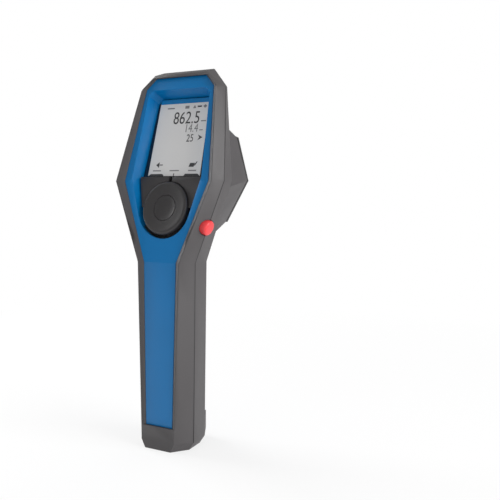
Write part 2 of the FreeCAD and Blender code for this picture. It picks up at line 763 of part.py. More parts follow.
def key_switches():
    body = make_body("key_switches")
    for index, (x, v) in enumerate(((as_size(0.0), as_size(0.0)),
                                    (-key_switch_x, key_switch_v), (key_switch_x, key_switch_v))):
        block = outline(body, f"block{index}", "XZ_Plane", [
            (x - switch_half, v - switch_half), (x + switch_half, v - switch_half),
            (x + switch_half, v + switch_half), (x - switch_half, v + switch_half)], **face(board_front))
        prism(body, f"block{index}", block, switch_height)


# Soft keys: two wings that reach round the upper half of the wheel
def soft_key(name, sign):
    body = make_body(name)
    top = screen_low - key_gap
    bottom_rise = carrier_front + key_travel + running_fit * 4.0
    wing = outline(body, "wing", "XZ_Plane", [
        (sign * (key_split * 0.5), key_low),
        (sign * (recess_half_at(key_low) - key_gap), key_low),
        (sign * (recess_mid_half - key_gap), recess_mid),
        (sign * (recess_mid_half - key_gap), top),
        (sign * (key_split * 0.5), top)], **face(bottom_rise))
    prism(body, "wing", wing, key_rise - bottom_rise)
    bite = ring(body, "bite", "XZ_Plane", wheel_radius + wheel_gap, FINE, **face(bottom_rise))
    prism(body, "bite", bite, key_rise - bottom_rise, cut=True)
    stem = ring(body, "stem", "XZ_Plane", stem_radius, SMALL, sign * key_switch_x, key_switch_v,
                **face(bottom_rise))
    prism(body, "stem", stem, bottom_rise - switch_top - key_travel - running_fit, backwards=True)


# Selection wheel: a ring that turns on a bush around the centre button
def selection_wheel():
    body = make_body("selection_wheel")
    low = carrier_front + wheel_gap
    disc = ring(body, "disc", "XZ_Plane", wheel_radius, FINE, **face(low))
    prism(body, "disc", disc, wheel_rise - wheel_edge - low)
    edge_low = ring(body, "edge_low", "XZ_Plane", wheel_radius, FINE, **face(wheel_rise - wheel_edge))
    edge_high = ring(body, "edge_high", "XZ_Plane", wheel_radius - wheel_edge, FINE, **face(wheel_rise))
    loft(body, "edge", [edge_low, edge_high])
    seat = circle(body, "seat", "XZ_Plane", bearing_radius + running_fit, **face(low))
    prism(body, "seat", seat, bearing_height + wheel_gap, cut=True)
    hole = ring(body, "hole", "XZ_Plane", button_radius + button_gap, MEDIUM, **face(low))
    prism(body, "hole", hole, wheel_rise - low, cut=True)


def wheel_bearing():
    body = make_body("wheel_bearing")
    bush = circle(body, "bush", "XZ_Plane", bearing_radius, **face(carrier_front))
    prism(body, "bush", bush, bearing_height)
    bore = ring(body, "bore", "XZ_Plane", bearing_bore, MEDIUM, **face(carrier_front))
    prism(body, "bore", bore, bearing_height, cut=True)


def centre_button():
    body = make_body("centre_button")
    low = carrier_front + key_travel + running_fit * 8.0
    top = wheel_rise - button_sink
    cap = ring(body, "cap", "XZ_Plane", button_radius, MEDIUM, **face(low))
    prism(body, "cap", cap, top - low)
    dish_high = ring(body, "dish_high", "XZ_Plane", button_radius - button_dish, MEDIUM, **face(top))
    dish_low = ring(body, "dish_low", "XZ_Plane", button_radius * 0.5, MEDIUM, **face(top - button_dish))
    loft(body, "dish", [dish_low, dish_high], cut=True)
    stem = ring(body, "stem", "XZ_Plane", button_stem, COARSE, **face(low))
    prism(body, "stem", stem, low - switch_top - key_travel - running_fit, backwards=True)


# Rear panel: the blue cover behind the head, open in the middle for the lamp
def cover_corners(pick, at):
    return [(pick(rim_half), pick(rim_y)), (pick(flat_half), pick(flat_y))]


def cover_hollow(pick, at):
    half = pick(flat_half) - cover_wall * 0.5
    return [(half, pick(rim_y) - inner_overlap), (half, pick(flat_y) - cover_wall)]


def door_hollow(pick, at):
    return [(pick(rim_half) - shell_wall, pick(rim_y) - inner_overlap),
            (pick(rim_half) - shell_wall, pick(rim_y)),
            (pick(flat_half) - cover_wall * 0.5, pick(flat_y) - cover_wall)]


def rear_panel():
    body = make_body("rear_panel")
    low = door_high + door_gap
    skin = case_sections(body, "skin", rear_levels(low, as_size(0.0)), cover_corners)
    loft(body, "skin", skin)
    hollow = case_sections(body, "hollow", rear_levels(low + cover_wall, cover_wall), cover_hollow)
    loft(body, "hollow", hollow, cut=True)
    bore = ring(body, "lamp_bore", "XZ_Plane", sink_bore(), FINE, 0.0, lamp_z, **upright(lamp_face_y))
    prism(body, "lamp_bore", bore, lamp_face_y * 2.0, cut=True)


def rear_levels(low, inset):
    return ((low, "foot", "neck"), "neck", "wide", "brow", (rear_panel_high - inset, "brow", "crown"))


def sink_bore():
    return lamp_radius + lens_lip - sink_ledge


# Battery door: the blue cover of the handle, hooked at its top and held by one screw
def battery_door():
    body = make_body("battery_door")
    low = heel_height + door_gap
    levels = ((low, "foot", "neck"), (door_high, "foot", "neck"))
    skin = case_sections(body, "skin", levels, lambda pick, at: [
        (pick(rim_half) - door_gap * 0.5, pick(rim_y) + door_gap),
        (pick(flat_half), pick(flat_y))])
    loft(body, "skin", skin)
    hollow_levels = ((low + cover_wall, "foot", "neck"), (door_high - cover_wall, "foot", "neck"))
    hollow = case_sections(body, "hollow", hollow_levels, door_hollow)
    loft(body, "hollow", hollow, cut=True)
    depth = door_screw_sink + door_screw_head
    outside = flat_at(door_screw_z)
    wall = ring(body, "screw_seat", "XZ_Plane", door_screw_pocket + door_screw_wall, MEDIUM, 0.0, door_screw_z,
                **upright(outside))
    prism(body, "screw_seat", wall, depth + cover_wall)
    pocket = ring(body, "screw_pocket", "XZ_Plane", door_screw_pocket, MEDIUM, 0.0, door_screw_z,
                  **upright(outside))
    prism(body, "screw_pocket", pocket, depth, cut=True)
    hole = circle(body, "screw_hole", "XZ_Plane", door_screw_shank + running_fit, 0.0, door_screw_z,
                  **upright(outside))
    prism(body, "screw_hole", hole, depth + cover_wall, cut=True)
    rim = rim_at_door_top()
    root_low = door_high - cover_wall
    tongue = outline(body, "tongue", "YZ_Plane", [
        (rim - tongue_thickness, root_low), (rim + cover_wall, root_low), (rim + cover_wall, door_high),
        (rim - door_gap, door_high), (rim - door_gap, door_high + tongue_reach),
        (rim - tongue_thickness, door_high + tongue_reach)], -tongue_width * 0.5)
    prism(body, "tongue", tongue, tongue_width)


def battery_door_screw():
    body = make_body("battery_door_screw")
    head_y = flat_at(door_screw_z) - door_screw_sink
    head = ring(body, "head", "XZ_Plane", door_screw_radius, MEDIUM, 0.0, door_screw_z, **upright(head_y))
    prism(body, "head", head, door_screw_head - running_fit)
    shank = circle(body, "shank", "XZ_Plane", door_screw_shank, 0.0, door_screw_z, **upright(head_y))
    prism(body, "shank", shank, door_screw_head + cover_wall + door_screw_reach)
    slot = outline(body, "slot", "XZ_Plane", both_sides([
        (door_screw_slot * 0.5, door_screw_z - door_screw_pocket),
        (door_screw_slot * 0.5, door_screw_z + door_screw_pocket)]), **upright(head_y))
    prism(body, "slot", slot, door_screw_head * 0.5, cut=True)


# Lamp housing: the faceted horn that stands on the rear panel around the lamp
def lamp_outline(body, name, corners, y):
    return outline(body, name, "XZ_Plane", both_sides(corners), **upright(y))


def face_corners():
    """Right half of the lamp's eight-cornered face, from the bottom up."""
    return [(bezel_half_low, bezel_low_z), (bezel_half_wide, bezel_wide_z),
            (bezel_half_high, bezel_high_z), (bezel_half_top, bezel_top_z)]


def root_corners():
    """The same outline where the horn meets the case, each edge parallel to the one on the face."""
    lower = (root_half_wide - root_half_low) / (bezel_half_wide - bezel_half_low)
    wide_z = root_low_z + (bezel_wide_z - bezel_low_z) * lower
    upper = (root_high_z - wide_z) / (bezel_high_z - bezel_wide_z)
    high_half = root_half_wide - (bezel_half_wide - bezel_half_high) * upper
    return [(root_half_low, root_low_z), (root_half_wide, wide_z), (high_half, root_high_z),
            (high_half - bezel_half_high + bezel_half_top, root_high_z + bezel_top_z - bezel_high_z)]


def lamp_housing():
    body = make_body("lamp_housing")
    shoulder = lamp_face_y - bezel_thickness
    root = lamp_outline(body, "root", root_corners(), root_y)
    loft(body, "horn", [root, lamp_outline(body, "shoulder", face_corners(), shoulder)])
    levels = ("neck", "wide", "brow", (rear_panel_high, "brow", "crown"))
    seat = case_sections(body, "seat", levels, lambda pick, at: [
        (pick(rim_half), pick(rim_y) - seat_depth),
        (pick(rim_half), pick(rim_y)),
        (pick(flat_half), pick(flat_y))])
    loft(body, "seat", seat, cut=True)
    bore = ring(body, "bore", "XZ_Plane", lamp_radius + lens_lip, FINE, 0.0, lamp_z, **upright(shoulder))
    prism(body, "bore", bore, shoulder - sink_back(), cut=True)
    through = ring(body, "through", "XZ_Plane", sink_bore(), FINE, 0.0, lamp_z, **upright(shoulder))
    prism(body, "through", through, lamp_face_y * 2.0, cut=True)


def lens_back():
    return lamp_face_y - bezel_thickness - lens_plate - lens_depth


def lamp_board_front():
    return lens_back() - chip_height


def sink_front():
    return lamp_board_front() - lamp_board


def sink_back():
    return sink_front() - sink_plate


def lamp_bezel():
    body = make_body("lamp_bezel")
    plate = lamp_outline(body, "plate", face_corners(), lamp_face_y)
    prism(body, "plate", plate, bezel_thickness)
    hole = circle(body, "hole", "XZ_Plane", lamp_radius, 0.0, lamp_z, **upright(lamp_face_y))
    prism(body, "hole", hole, bezel_thickness, cut=True)


def lens_places():
    """The middle lens and the ring of lenses around it, one of them straight up."""
    places = [(as_size(0.0), lamp_z)]
    count = int(round(outer_lenses.value))
    for index in range(count):
        angle = math.radians(90.0 + 360.0 * index / count)
        places.append((lens_pitch * math.cos(angle), lamp_z + lens_pitch * math.sin(angle)))
    return places


def screw_places():
    count = int(round(outer_lenses.value))
    angles = [math.radians(90.0 + 360.0 * (index + 0.5) / count) for index in range(count)]
    return [(lens_screw_pitch * math.cos(a), lamp_z + lens_screw_pitch * math.sin(a)) for a in angles]


# Lens array: one clear moulding with a plate in front and a tapered lens behind each diode
def lens_array():
    body = make_body("lens_array")
    front = lamp_face_y - bezel_thickness
    plate = ring(body, "plate", "XZ_Plane", lamp_radius + lens_lip - fit_gap, FINE, 0.0, lamp_z, **upright(front))
    prism(body, "plate", plate, lens_plate)
    for index, (x, z) in enumerate(lens_places()):
        wide = ring(body, f"wide{index}", "XZ_Plane", lens_radius, COARSE, x, z, **upright(front - lens_plate))
        tip = ring(body, f"tip{index}", "XZ_Plane", lens_tip_radius, COARSE, x, z, **upright(lens_back()))
        loft(body, f"lens{index}", [wide, tip])
    holes = rings(body, "screw_holes", "XZ_Plane", lens_screw_shank, SMALL, screw_places(), **upright(front))
    prism(body, "screw_holes", holes, lens_plate, cut=True)


def lens_screws():
    body = make_body("lens_screws")
    front = lamp_face_y - bezel_thickness
    heads = rings(body, "heads", "XZ_Plane", lens_screw_radius, COARSE, screw_places(),
                  **upright(front + lens_screw_head))
    prism(body, "heads", heads, lens_screw_head)
    shanks = rings(body, "shanks", "XZ_Plane", lens_screw_shank, SMALL, screw_places(), **upright(front))
    prism(body, "shanks", shanks, front - lamp_board_front())


def leds():
    body = make_body("leds")
    for index, (x, z) in enumerate(lens_places()):
        chip = outline(body, f"chip{index}", "XZ_Plane", [
            (x - chip_half, z - chip_half), (x + chip_half, z - chip_half),
            (x + chip_half, z + chip_half), (x - chip_half, z + chip_half)], **upright(lens_back()))
        prism(body, f"chip{index}", chip, chip_height)


def led_board():
    body = make_body("led_board")
    disc = ring(body, "disc", "XZ_Plane", lamp_radius + lens_lip - fit_gap, FINE, 0.0, lamp_z,
                **upright(lamp_board_front()))
    prism(body, "disc", disc, lamp_board)


def heat_sink():
    body = make_body("heat_sink")
    disc = ring(body, "disc", "XZ_Plane", lamp_radius + lens_lip - fit_gap, FINE, 0.0, lamp_z,
                **upright(sink_front()))
    prism(body, "disc", disc, sink_plate)
    count = int(round(sink_fins.value))
    for index in range(count):
        x = sink_fin_pitch * (index - (count - 1) / 2.0)
        half = sink_fin_thickness * 0.5
        fin = outline(body, f"fin{index}", "XZ_Plane", [
            (x - half, lamp_z - sink_fin_half), (x + half, lamp_z - sink_fin_half),
            (x + half, lamp_z + sink_fin_half), (x - half, lamp_z + sink_fin_half)], **upright(sink_back()))
        prism(body, f"fin{index}", fin, sink_fin)


# Red trigger button on the right seam, with its switch behind it in the same bore
def trigger_button():
    body = make_body("trigger_button")
    shank = side_ring(body, "shank", trigger_radius, trigger_proud - trigger_round)
    prism(body, "shank", shank, trigger_length - trigger_round, backwards=True)
    low = side_ring(body, "cap_low", trigger_radius, trigger_proud - trigger_round)
    high = side_ring(body, "cap_high", trigger_radius - trigger_round, trigger_proud)
    loft(body, "cap", [low, high])


def trigger_switch():
    body = make_body("trigger_switch")
    start = trigger_proud - trigger_length - trigger_travel - trigger_gap
    plug = side_ring(body, "plug", side_bore, start)
    prism(body, "plug", plug, side_plug_depth + start, backwards=True)


# Socket for the charger on the left seam, set back in its bore
def side_socket():
    body = make_body("side_socket")
    plug = side_ring(body, "plug", side_bore, -socket_sink, left=True)
    prism(body, "plug", plug, side_plug_depth - socket_sink)
    bore = side_ring(body, "bore", socket_bore, -socket_sink, left=True)
    prism(body, "bore", bore, socket_depth, cut=True)


# Battery pack: two cells side by side in one wrapped sleeve, with a block of sprung blades above
def battery_pack():
    body = make_body("battery_pack")
    middle_y = bulkhead_y + bulkhead + cell_radius
    for name, x in (("left_cell", -cell_radius), ("right_cell", cell_radius)):
        cell = ring(body, name, "XY_Plane", cell_radius, MEDIUM, x, middle_y, offset=pack_low)
        prism(body, name, cell, cell_length)
    sleeve = outline(body, "sleeve", "XY_Plane", both_sides([
        (cell_radius, middle_y - cell_radius), (cell_radius, middle_y + cell_radius)]), pack_low)
    prism(body, "sleeve", sleeve, cell_length)


def battery_contacts():
    body = make_body("battery_contacts")
    back = bulkhead_y + bulkhead
    low = pack_low + cell_length + contact_gap
    block = outline(body, "block", "XY_Plane", both_sides([
        (contact_half, back), (contact_half, back + contact_depth)]), low)
    prism(body, "block", block, bulkhead_top - low)
    for index in (-1, 0, 1):
        x = blade_pitch * index
        blade = outline(body, f"blade{index + 1}", "XY_Plane", [
            (x - blade_half, back + contact_depth * 0.25), (x + blade_half, back + contact_depth * 0.25),
            (x + blade_half, back + contact_depth * 0.75), (x - blade_half, back + contact_depth * 0.75)], low)
        prism(body, f"blade{index + 1}", blade, contact_gap, backwards=True)


# Main board with its processor and the capacitors that feed the flashes
def main_board():
    body = make_body("main_board")
    board = outline(body, "board", "XZ_Plane", both_sides([
        (main_board_half, main_board_low), (main_board_half, main_board_high)]), **upright(bulkhead_y))
    prism(body, "board", board, board_thickness)
    middle = (main_board_low + main_board_high) * 0.5
    half = chip_block * 0.5
    chip = outline(body, "chip", "XZ_Plane", both_sides([
        (half, middle - half), (half, middle + half)]), **upright(bulkhead_y - board_thickness))
    prism(body, "chip", chip, chip_block_rise)


def flash_capacitors():
    body = make_body("flash_capacitors")
    for index, sign in enumerate((-1.0, 1.0)):
        x = sign * (capacitor_radius + shell_wall * 0.5)
        y = bulkhead_y - board_thickness - capacitor_radius
        low = main_board_high - capacitor_length - board_thickness
        can = ring(body, f"can{index}", "XY_Plane", capacitor_radius, COARSE, x, y, offset=low)
        prism(body, f"can{index}", can, capacitor_length)


def case_screws():
    body = make_body("case_screws")
    seat = bulkhead_y + bulkhead
    heads = rings(body, "heads", "XZ_Plane", case_screw_head, COARSE, case_screw_places(),
                  **upright(seat + case_screw_head_rise))
    prism(body, "heads", heads, case_screw_head_rise)
    shanks = rings(body, "shanks", "XZ_Plane", case_screw_shank, SMALL, case_screw_places(), **upright(seat))
    prism(body, "shanks", shanks, case_screw_length)


def tripod_bush():
    body = make_body("tripod_bush")
    bush = ring(body, "bush", "XY_Plane", bush_radius, COARSE, 0.0, bush_y)
    prism(body, "bush", bush, bush_depth)
    bore = circle(body, "bore", "XY_Plane", bush_bore, 0.0, bush_y)
    prism(body, "bore", bore, bush_depth, cut=True)


def with_true_planes(shape):
    """The same solids, with each flat face that a loft left on a ruled surface put on a plane."""
    pairs = []
    for face in shape.Faces:
        plane = face.findPlane(FLATNESS) if isinstance(face.Surface, Part.BSplineSurface) else None
        if plane is not None:
            flat = Part.Face(plane, face.Wires)
            outward = face.normalAt(*face.Surface.parameter(face.CenterOfMass))
            same_way = outward.dot(flat.normalAt(0.0, 0.0)) > 0.0
            pairs.append((face, flat if same_way else flat.reversed()))
    return shape.replaceShape(pairs) if pairs else shape


front_shell()
rear_shell()
front_panel()
control_carrier()
display_window()
display_module()
control_board()
key_switches()
soft_key("left_soft_key", -1.0)
soft_key("right_soft_key", 1.0)
selection_wheel()
wheel_bearing()
centre_button()
rear_panel()
battery_door()
battery_door_screw()
lamp_housing()
lamp_bezel()
lens_array()
lens_screws()
leds()
led_board()
heat_sink()
trigger_button()
trigger_switch()
side_socket()
battery_pack()
battery_contacts()
main_board()
flash_capacitors()
case_screws()
tripod_bush()

doc.recompute()
for item in doc.Objects:
    if "Invalid" in item.State or "Error" in item.State:
        raise RuntimeError(f"{item.Name} did not build: {item.State}")
for node in nodes:
    if node.Shape.isNull() or not node.Shape.isValid():
        raise RuntimeError(f"{node.Label} has no valid shape")
for node in nodes:
    solids = with_true_planes(node.Shape)
    if not solids.isValid():
        raise RuntimeError(f"{node.Label} lost its shape on the way out")
    solids.exportStep(f"parts/{node.Label}.step")
    print(f"{node.Label}: {len(solids.Solids)} solid(s), {solids.Volume:.1f} cubic mm")
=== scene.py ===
import math

import bmesh
import bpy
from mathutils import Matrix, Vector


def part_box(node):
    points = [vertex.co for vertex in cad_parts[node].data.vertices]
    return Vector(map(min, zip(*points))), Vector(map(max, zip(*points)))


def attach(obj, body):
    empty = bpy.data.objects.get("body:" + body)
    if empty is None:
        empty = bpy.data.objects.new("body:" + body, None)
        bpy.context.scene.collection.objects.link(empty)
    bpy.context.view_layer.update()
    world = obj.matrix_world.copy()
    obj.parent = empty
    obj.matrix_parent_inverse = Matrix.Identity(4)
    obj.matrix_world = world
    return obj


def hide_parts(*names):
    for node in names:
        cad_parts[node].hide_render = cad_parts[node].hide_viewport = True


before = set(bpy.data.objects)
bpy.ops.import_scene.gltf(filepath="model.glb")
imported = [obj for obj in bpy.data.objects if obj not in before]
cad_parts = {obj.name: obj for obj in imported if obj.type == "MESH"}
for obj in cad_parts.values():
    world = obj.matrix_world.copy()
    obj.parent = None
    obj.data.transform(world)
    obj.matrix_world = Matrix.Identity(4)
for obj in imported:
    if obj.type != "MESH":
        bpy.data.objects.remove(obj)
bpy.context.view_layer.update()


# Case: two moulded half cases in dark soft-touch plastic, screwed together in the battery bay.
# They meet on one thin seam round the sides, where a thin black strip in the groove is painted
# shade.
# The mould leaves the long edges a little round, and the coating has a very fine grain.
class Signal:
    """One shader socket, so that sums and products of sockets can be written as such."""

    def __init__(self, finish, socket):
        self.finish = finish
        self.socket = socket

    def __add__(self, other):
        return self.finish.combined("ADD", self, other)

    def __radd__(self, other):
        return self.finish.combined("ADD", other, self)

    def __mul__(self, other):
        return self.finish.combined("MULTIPLY", self, other)

    def __rmul__(self, other):
        return self.finish.combined("MULTIPLY", other, self)


class Finish:
    """A material that starts from one Principled surface."""

    def __init__(self, name, colour, roughness, **constants):
        self.material = bpy.data.materials.new(name)
        self.material.use_nodes = True
        self.tree = self.material.node_tree
        self.surface = self.tree.nodes["Principled BSDF"]
        self.colour = (*colour, 1.0)
        self.give("Base Color", self.colour)
        self.give("Roughness", roughness)
        for socket, value in constants.items():
            self.give(socket.replace("_", " "), value)
        self.place = self.node("ShaderNodeTexCoord", out="Object")

    def node(self, kind, settings=None, sockets=None, out=0):
        """Any other node: its type, its settings, its sockets and the output that is used."""
        made = self.tree.nodes.new(kind)
        for key, value in (settings or {}).items():
            setattr(made, key, value)
        for key, value in (sockets or {}).items():
            self.feed(made.inputs[key], value)
        return Signal(self, made.outputs[out])

    def feed(self, socket, value):
        if isinstance(value, Signal):
            self.tree.links.new(value.socket, socket)
        else:
            socket.default_value = value

    def give(self, socket, value):
        self.feed(self.surface.inputs[socket], value)

    def combined(self, operation, one, other):
        return self.node("ShaderNodeMath", {"operation": operation}, {0: one, 1: other})

    def noise(self, scale, detail=2.0):
        return self.node("ShaderNodeTexNoise", None,
                         {"Vector": self.place, "Scale": scale, "Detail": detail})

    def bump(self, height, strength, depth):
        self.give("Normal", self.node("ShaderNodeBump", None, {
            "Height": height, "Strength": strength, "Distance": depth}))

    def blend(self, share, one, other):
        return self.node("ShaderNodeMix", {"data_type": "RGBA"}, {0: share, 6: one, 7: other},
                         out=2)

    def uneven(self, smoothest, spread, scale, detail=2.0):
        """Roughness that wanders, because no touched or plated surface is even."""
        self.give("Roughness", smoothest + self.noise(scale, detail) * spread)


def moulded(name, colour, roughness, grain=2600.0, depth=0.00002, handled=0.10, **constants):
    """Moulded plastic: fine grain, and patches that handling has polished a little."""
    patch_scale, patch_detail, patch_lift = 38.0, 3.0, 1.16
    finish = Finish(name, colour, roughness, **constants)
    patches = finish.noise(patch_scale, patch_detail)
    polished = tuple(min(1.0, part * patch_lift) for part in colour) + (1.0,)
    finish.give("Base Color", finish.blend(patches, finish.colour, polished))
    finish.give("Roughness", roughness - handled * 0.5 + patches * handled)
    finish.bump(finish.noise(grain), 0.35, depth)
    return finish.material


def choose(*pieces):
    """Select just these pieces, with the first of them active."""
    for other in list(bpy.context.selected_objects):
        other.select_set(False)
    for piece in pieces:
        piece.select_set(True)
    if pieces:
        bpy.context.view_layer.objects.active = pieces[0]


def cad_copy(node, name):
    """A copy of a CAD node whose triangles are merged back into whole faces."""
    piece = bpy.data.objects.new(name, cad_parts[node].data.copy())
    bpy.context.collection.objects.link(piece)
    piece.data.materials.clear()
    choose(piece)
    bpy.ops.object.mode_set(mode="EDIT")
    bpy.ops.mesh.select_mode(type="EDGE")
    bpy.ops.mesh.select_all(action="SELECT")
    bpy.ops.mesh.remove_doubles(threshold=0.000002)
    bpy.ops.mesh.dissolve_limited(angle_limit=math.radians(0.6))
    bpy.ops.object.mode_set(mode="OBJECT")
    return piece


def round_edges(piece, width, shortest, sharpness=14.0, clamp=True):
    """Round the outer edges that are sharper and longer than the given angle and length, in mm."""
    choose(piece)
    bpy.ops.object.mode_set(mode="EDIT")
    bpy.ops.mesh.select_all(action="DESELECT")
    net = bmesh.from_edit_mesh(piece.data)
    for edge in net.edges:
        corner = edge.is_convex and edge.calc_face_angle(0.0) > math.radians(sharpness)
        edge.select = corner and edge.calc_length() > shortest / 1000
    bmesh.update_edit_mesh(piece.data)
    bpy.ops.mesh.bevel(offset=width / 1000, segments=3, affect="EDGES", clamp_overlap=clamp)
    bpy.ops.object.mode_set(mode="OBJECT")
    bpy.ops.object.shade_smooth_by_angle(angle=math.radians(32.0))


def from_net(name, net):
    """A new piece with the faces of a net."""
    mesh = bpy.data.meshes.new(name)
    net.to_mesh(mesh)
    net.free()
    piece = bpy.data.objects.new(name, mesh)
    bpy.context.collection.objects.link(piece)
    return piece


def fit(piece, material, body="case", stands_for=None):
    """Give a piece its material and the body it moves with."""
    piece.data.materials.append(material)
    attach(piece, body)
    if stands_for:
        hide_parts(stands_for)


shell_finish = moulded("soft_touch_shell", (0.058, 0.054, 0.056), 0.52, handled=0.12)
for shell_node in ("front_shell", "rear_shell"):
    shell = cad_copy(shell_node, f"{shell_node}_moulding")
    round_edges(shell, 0.5, 10.0, 50.0, clamp=shell_node == "rear_shell")
    fit(shell, shell_finish, stands_for=shell_node)

seam_line = [(15.6, -15.0, 0.5), (19.2, -15.0, 5.2), (20.4, -14.5, 111.0),
             (39.0, -12.4, 158.5), (29.5, 4.1, 213.8), (18.3, 8.3, 224.8)]
seam_line += [(-x, y, z) for x, y, z in reversed(seam_line)]
seam_heart = 130.0
# The black strip along the seam is painted shade, which darkens the groove where it lies in
# shadow.
shade_strip_depth, shade_strip_radius, shade_strip_sides = 0.36, 0.3, 8
shade_strip_net = bmesh.new()
shade_strip_rings = []
for x, y, z in seam_line:
    inward = Vector((-x, 0.0, seam_heart - z)).normalized()
    middle = Vector((x, y, z)) + inward * shade_strip_depth
    shade_strip_ring = []
    for side in range(shade_strip_sides):
        turn = math.tau * side / shade_strip_sides
        reach = inward * math.cos(turn) + Vector((0.0, math.sin(turn), 0.0))
        shade_strip_ring.append(shade_strip_net.verts.new((middle + reach * shade_strip_radius) / 1000))
    shade_strip_rings.append(shade_strip_ring)
for ring, next_ring in zip(shade_strip_rings, shade_strip_rings[1:]):
    for side in range(shade_strip_sides):
        beside = (side + 1) % shade_strip_sides
        shade_strip_net.faces.new((ring[side], ring[beside], next_ring[beside], next_ring[side]))
shade_strip_net.faces.new(shade_strip_rings[0])
shade_strip_net.faces.new(shade_strip_rings[-1])
bmesh.ops.recalc_face_normals(shade_strip_net, faces=shade_strip_net.faces)
# Near-black finish of the painted seam shade.
seam_painted_shade = moulded("seam_painted_shade", (0.006, 0.006, 0.006), 0.6)
fit(from_net("seam_shade_strip", shade_strip_net), seam_painted_shade)


# Blue covers: the front panel, the rear panel and the battery door, moulded and then lacquered.
# The rear ones stand proud of the dark case and have a wide bevel down each side.
# The door hooks in at its top, and one screw near the bottom holds it.
blue_finish = moulded("blue_lacquer", (0.0, 0.145, 0.385), 0.30, grain=900.0, depth=0.000012,
                      handled=0.05, Specular_IOR_Level=0.32, Coat_Weight=0.10,
                      Coat_Roughness=0.20)
for cover_node, cover_body in (("front_panel", "case"), ("rear_panel", "case"),
                               ("battery_door", "door")):
    cover = cad_copy(cover_node, f"{cover_node}_moulding")
    round_edges(cover, 0.7, 7.0)
    fit(cover, blue_finish, cover_body, cover_node)


# Carrier and soft keys: a black plate at the bottom of the recess, and the keys that stand on it.
# The two keys reach round the wheel and are moulded in charcoal rubber with a dull skin.
carrier_finish = moulded("black_carrier", (0.006, 0.006, 0.007), 0.42)
carrier = cad_copy("control_carrier", "carrier_plate")
round_edges(carrier, 0.2, 6.0)
fit(carrier, carrier_finish, stands_for="control_carrier")

key_finish = moulded("key_rubber", (0.032, 0.029, 0.030), 0.55, grain=3200.0, depth=0.00003)
for side_name in ("left", "right"):
    key = cad_copy(f"{side_name}_soft_key", f"{side_name}_key_cap")
    round_edges(key, 0.6, 1.2)
    fit(key, key_finish, f"{side_name}_key", f"{side_name}_soft_key")


# Selection wheel and centre button: a turning ring with a hollowed top, and a dished button in it.
# Both are smooth charcoal plastic. The ring runs on a bush, and the button's stem on a switch.
face_lean = math.radians(15.5)
face_place = Vector((0.0, -13.6, 141.9))
face_turn = (Matrix.Translation(face_place / 1000)
             @ Matrix.Rotation(math.radians(90.0) - face_lean, 4, "X"))


def settle(piece, place):
    """Put a piece where it belongs, with that place in its mesh."""
    piece.data.transform(place)
    piece.data.update()


def turned(name, place, profile, steps=96, closed=False):
    """A turned piece: rings of the given radius and height, in mm, drawn out one after another."""
    profile = [(radius / 1000, height / 1000) for radius, height in profile]
    radius, height = profile[0]
    choose()
    bpy.ops.mesh.primitive_circle_add(vertices=steps, radius=radius, location=(0, 0, 0))
    piece = bpy.context.object
    piece.name = name
    bpy.ops.object.mode_set(mode="EDIT")
    bpy.ops.mesh.select_mode(type="VERT")
    bpy.ops.mesh.select_all(action="SELECT")
    bpy.ops.transform.translate(value=(0, 0, height))
    for next_radius, next_height in profile[1:]:
        bpy.ops.mesh.extrude_region_move(
            TRANSFORM_OT_translate={"value": (0, 0, next_height - height)})
        share = next_radius / radius
        bpy.ops.transform.resize(value=(share, share, 1.0))
        radius, height = next_radius, next_height
    if not closed:
        bpy.ops.mesh.edge_face_add()
        bpy.ops.mesh.select_all(action="DESELECT")
        net = bmesh.from_edit_mesh(piece.data)
        for edge in net.edges:
            edge.select = edge.is_boundary
        bmesh.update_edit_mesh(piece.data)
        bpy.ops.mesh.select_mode(type="EDGE")
        bpy.ops.mesh.edge_face_add()
    bpy.ops.mesh.select_all(action="SELECT")
    bpy.ops.mesh.remove_doubles(threshold=0.000001)
    bpy.ops.mesh.normals_make_consistent(inside=False)
    bpy.ops.object.mode_set(mode="OBJECT")
    bpy.ops.object.shade_smooth_by_angle(angle=math.radians(35.0))
    settle(piece, place)
    return piece


wheel_radius, wheel_base, wheel_top = 15.9, -0.8, 4.3
seat_radius, seat_top = 11.05, 1.8
hole_radius, hole_top = 7.8, 3.4
wheel = turned("wheel_ring", face_turn, [
    (seat_radius, wheel_base), (wheel_radius - 0.2, wheel_base), (wheel_radius, wheel_base + 0.2),
    (wheel_radius, 2.6), (wheel_radius - 0.05, 3.2), (wheel_radius - 0.3, 3.7),
    (wheel_radius - 0.7, 4.1), (wheel_radius - 1.2, wheel_top), (wheel_radius - 1.8, wheel_top),
    (13.4, 4.2), (11.8, 3.9), (10.0, 3.7), (8.4, 3.58), (hole_radius + 0.1, hole_top + 0.1),
    (hole_radius, hole_top), (hole_radius, seat_top), (seat_radius, seat_top),
    (seat_radius, wheel_base)], 120, closed=True)
wheel_finish = moulded("wheel_plastic", (0.023, 0.021, 0.022), 0.44, handled=0.14)
fit(wheel, wheel_finish, "wheel", "selection_wheel")

stem_radius, stem_foot = 2.2, -3.0
button_radius, button_base, button_top, dish_bottom = 7.6, -0.2, 3.5, 2.8
button = turned("button_cap", face_turn, [
    (stem_radius, stem_foot), (stem_radius, button_base), (button_radius - 0.4, button_base),
    (button_radius, button_base + 0.4), (button_radius, button_top - 0.3),
    (button_radius - 0.05, button_top - 0.1), (button_radius - 0.2, button_top), (6.8, 3.4),
    (6.0, 3.2), (4.8, 3.0), (3.0, dish_bottom + 0.1), (0.4, dish_bottom)])
button_finish = moulded("button_plastic", (0.021, 0.019, 0.020), 0.42, handled=0.14)
fit(button, button_finish, "centre_key", "centre_button")


